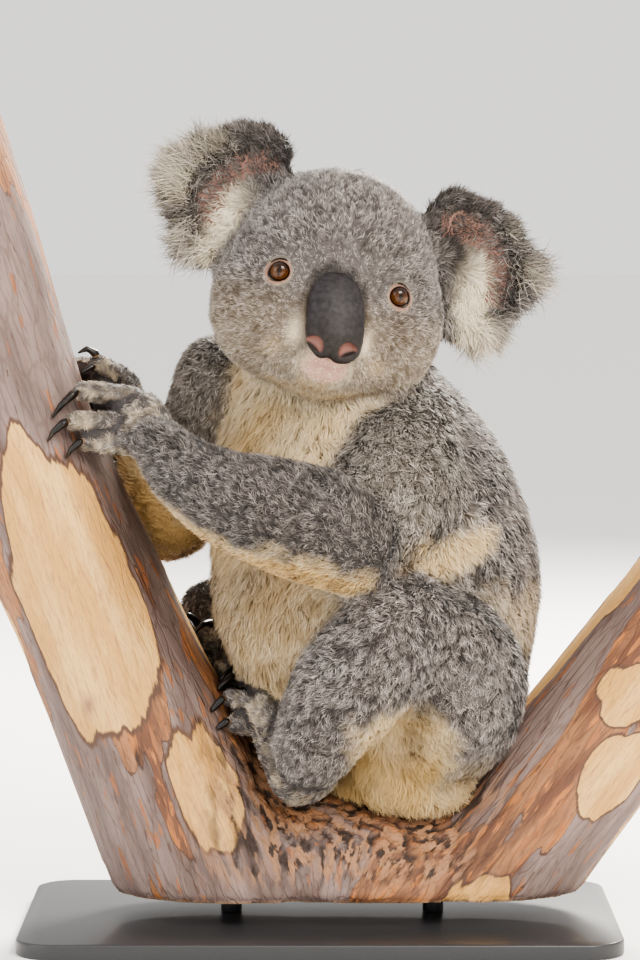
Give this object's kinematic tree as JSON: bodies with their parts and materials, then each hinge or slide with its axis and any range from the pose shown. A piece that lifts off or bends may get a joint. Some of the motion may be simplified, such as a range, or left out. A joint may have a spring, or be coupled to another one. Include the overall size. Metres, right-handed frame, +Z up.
{
  "type": "koala",
  "caption": "Still life-size koala sitting in a cut gum tree fork and gripping its left limb, on a plain display stand.",
  "frame": {"origin": "middle of the underside of the display stand's flat base", "axes": "+Z up, the face looks along -Y, +X from the gripped limb of the fork towards the other limb"},
  "size_m": [0.6209, 0.2669, 0.5683],
  "materials": {
    "grey_fur": "dense woolly grey fur with light tips",
    "cream_fur": "soft cream fur",
    "ear_fur": "long fringed ear fur, white tipped",
    "nose_skin": "fine pebbled dark skin, slightly moist",
    "eye": "clear wet gloss over a brown iris",
    "claw": "dark polished horn",
    "bark": "smooth mottled gum bark, mauve-grey, salmon and cream",
    "stand_metal": "satin dark grey paint"
  },
  "bodies": {
    "root": {"eye_right": "eye", "eye_left": "eye", "nose_pad": "nose_skin", "head": "grey_fur", "ear_right": "ear_fur", "ear_left": "ear_fur", "neck": "cream_fur", "trunk": "grey_fur", "forearm_right": "grey_fur", "shin_right": "grey_fur", "upper_arm_right": "grey_fur", "thigh_right": "grey_fur", "hand_right": "grey_fur", "claw_hand_right_thumb": "claw", "claw_hand_right_index": "claw", "claw_hand_right_middle": "claw", "claw_hand_right_ring": "claw", "claw_hand_right_little": "claw", "foot_right": "grey_fur", "claw_foot_right_groom_inner": "claw", "claw_foot_right_groom_outer": "claw", "claw_foot_right_fourth": "claw", "claw_foot_right_fifth": "claw", "forearm_left": "grey_fur", "shin_left": "grey_fur", "upper_arm_left": "grey_fur", "thigh_left": "grey_fur", "hand_left": "grey_fur", "claw_hand_left_thumb": "claw", "claw_hand_left_index": "claw", "claw_hand_left_middle": "claw", "claw_hand_left_ring": "claw", "claw_hand_left_little": "claw", "foot_left": "grey_fur", "claw_foot_left_groom_inner": "claw", "claw_foot_left_groom_outer": "claw", "claw_foot_left_fourth": "claw", "claw_foot_left_fifth": "claw", "stand_base": "stand_metal", "stand_rod_1": "stand_metal", "stand_rod_2": "stand_metal", "perch_fork": "bark"}
  },
  "joints": []
}
